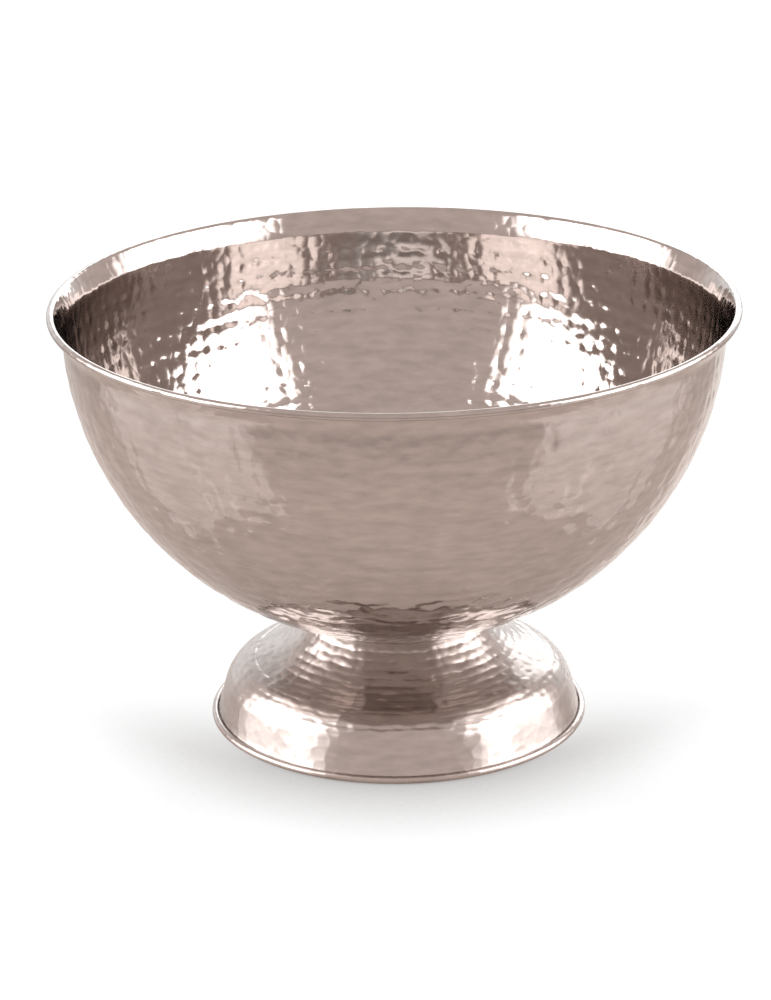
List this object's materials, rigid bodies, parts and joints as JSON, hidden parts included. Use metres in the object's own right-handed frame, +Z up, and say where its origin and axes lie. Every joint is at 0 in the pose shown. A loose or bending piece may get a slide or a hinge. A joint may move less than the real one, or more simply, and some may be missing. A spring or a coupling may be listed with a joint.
{
  "type": "punch bowl",
  "caption": "Large round hammered steel serving bowl with a smooth flared band and a rolled rim, bolted to a spun pedestal foot, for serving punch.",
  "frame": {"origin": "centre of the foot's base, on the table", "axes": "+Z up along the bowl's axis of revolution, out of its mouth; X and Y are level and equal, since the bowl is round"},
  "size_m": [0.368, 0.368, 0.2341],
  "materials": {
    "hammered_steel": "hammered and polished stainless steel",
    "wire_steel": "drawn stainless wire",
    "fixing_steel": "plain stainless fixings"
  },
  "bodies": {
    "root": {"bowl_shell": "hammered_steel", "rim_wire": "wire_steel", "foot_shell": "hammered_steel", "base_wire": "wire_steel", "weld_stud": "fixing_steel", "backing_plate": "fixing_steel", "spring_washer": "fixing_steel", "hex_nut": "fixing_steel"}
  },
  "joints": []
}
